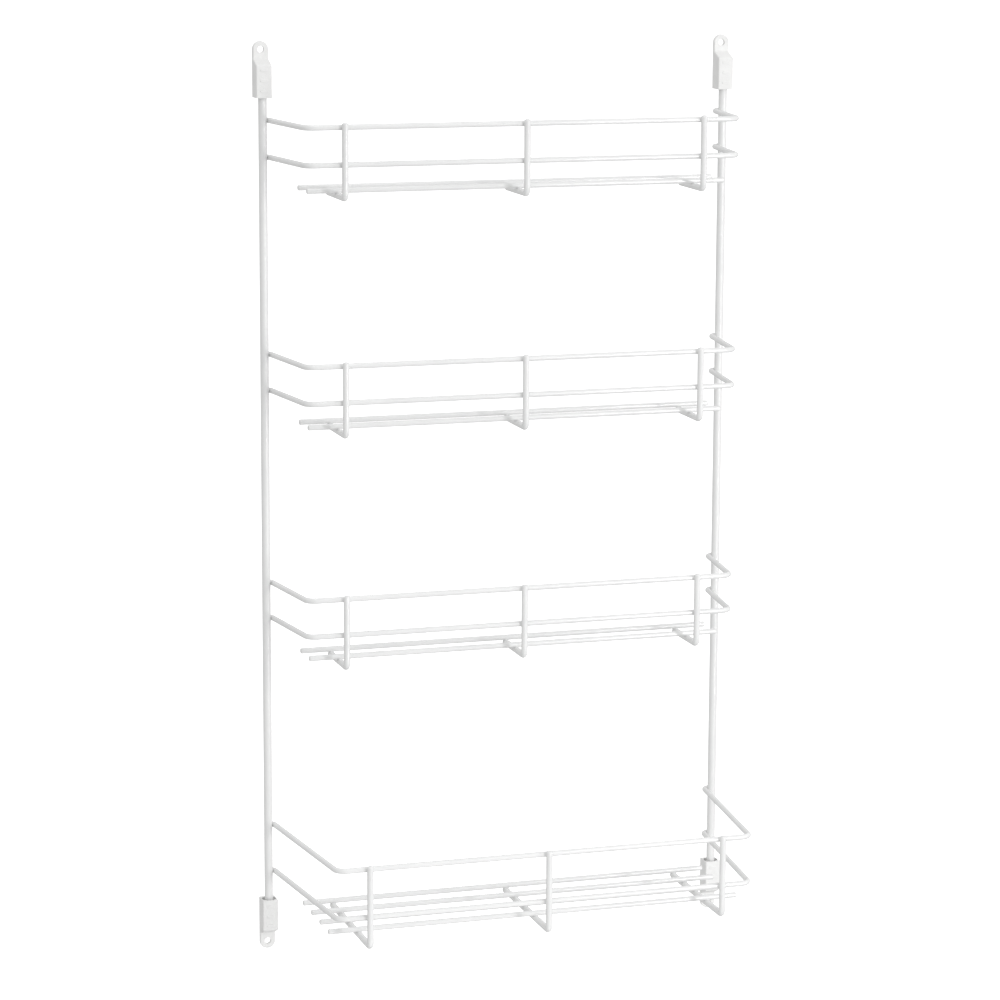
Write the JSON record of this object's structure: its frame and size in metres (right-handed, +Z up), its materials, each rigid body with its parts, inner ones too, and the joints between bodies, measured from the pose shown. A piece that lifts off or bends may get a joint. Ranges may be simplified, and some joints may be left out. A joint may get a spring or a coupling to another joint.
{
  "type": "door-mounted wire pantry rack",
  "caption": "Door-mounted wire pantry rack: two round posts in screw-on sockets carry narrow railed baskets and a deeper one at the bottom.",
  "frame": {"origin": "middle of the four screw holes, on the face of the door", "axes": "+X to the right as seen from the room, +Y into the door, +Z up"},
  "size_m": [0.3616, 0.142, 0.6716],
  "materials": {
    "wire_coating": "satin white powder coat on steel wire and rod",
    "socket_plastic": "fine matt white moulded plastic"
  },
  "bodies": {
    "rack": {"post_left": "wire_coating", "post_right": "wire_coating", "top_shelf_upper_rail": "wire_coating", "top_shelf_lower_rail": "wire_coating", "top_shelf_rib_left": "wire_coating", "top_shelf_rib_middle": "wire_coating", "top_shelf_rib_right": "wire_coating", "top_shelf_base_wire_rear": "wire_coating", "top_shelf_base_wire_front": "wire_coating", "second_shelf_upper_rail": "wire_coating", "second_shelf_lower_rail": "wire_coating", "second_shelf_rib_left": "wire_coating", "second_shelf_rib_middle": "wire_coating", "second_shelf_rib_right": "wire_coating", "second_shelf_base_wire_rear": "wire_coating", "second_shelf_base_wire_front": "wire_coating", "third_shelf_upper_rail": "wire_coating", "third_shelf_lower_rail": "wire_coating", "third_shelf_rib_left": "wire_coating", "third_shelf_rib_middle": "wire_coating", "third_shelf_rib_right": "wire_coating", "third_shelf_base_wire_rear": "wire_coating", "third_shelf_base_wire_front": "wire_coating", "bottom_shelf_upper_rail": "wire_coating", "bottom_shelf_lower_rail": "wire_coating", "bottom_shelf_rib_left": "wire_coating", "bottom_shelf_rib_middle": "wire_coating", "bottom_shelf_rib_right": "wire_coating", "bottom_shelf_base_wire_rear": "wire_coating", "bottom_shelf_base_wire_mid_rear": "wire_coating", "bottom_shelf_base_wire_mid_front": "wire_coating", "bottom_shelf_base_wire_front": "wire_coating"},
    "socket_top_left": {"socket_top_left": "socket_plastic"},
    "socket_top_right": {"socket_top_right": "socket_plastic"},
    "socket_bottom_left": {"socket_bottom_left": "socket_plastic"},
    "socket_bottom_right": {"socket_bottom_right": "socket_plastic"}
  },
  "joints": [
    {"name": "socket_top_left_swivel", "type": "hinge", "parent": "rack", "child": "socket_top_left", "pos_m": [-0.175, -0.0068, 0.306], "axis": [0, 0, 1], "continuous": true},
    {"name": "socket_top_right_swivel", "type": "hinge", "parent": "rack", "child": "socket_top_right", "pos_m": [0.175, -0.0068, 0.306], "axis": [0, 0, 1], "continuous": true},
    {"name": "socket_bottom_left_swivel", "type": "hinge", "parent": "rack", "child": "socket_bottom_left", "pos_m": [-0.175, -0.0068, -0.306], "axis": [0, 0, 1], "continuous": true},
    {"name": "socket_bottom_right_swivel", "type": "hinge", "parent": "rack", "child": "socket_bottom_right", "pos_m": [0.175, -0.0068, -0.306], "axis": [0, 0, 1], "continuous": true}
  ]
}
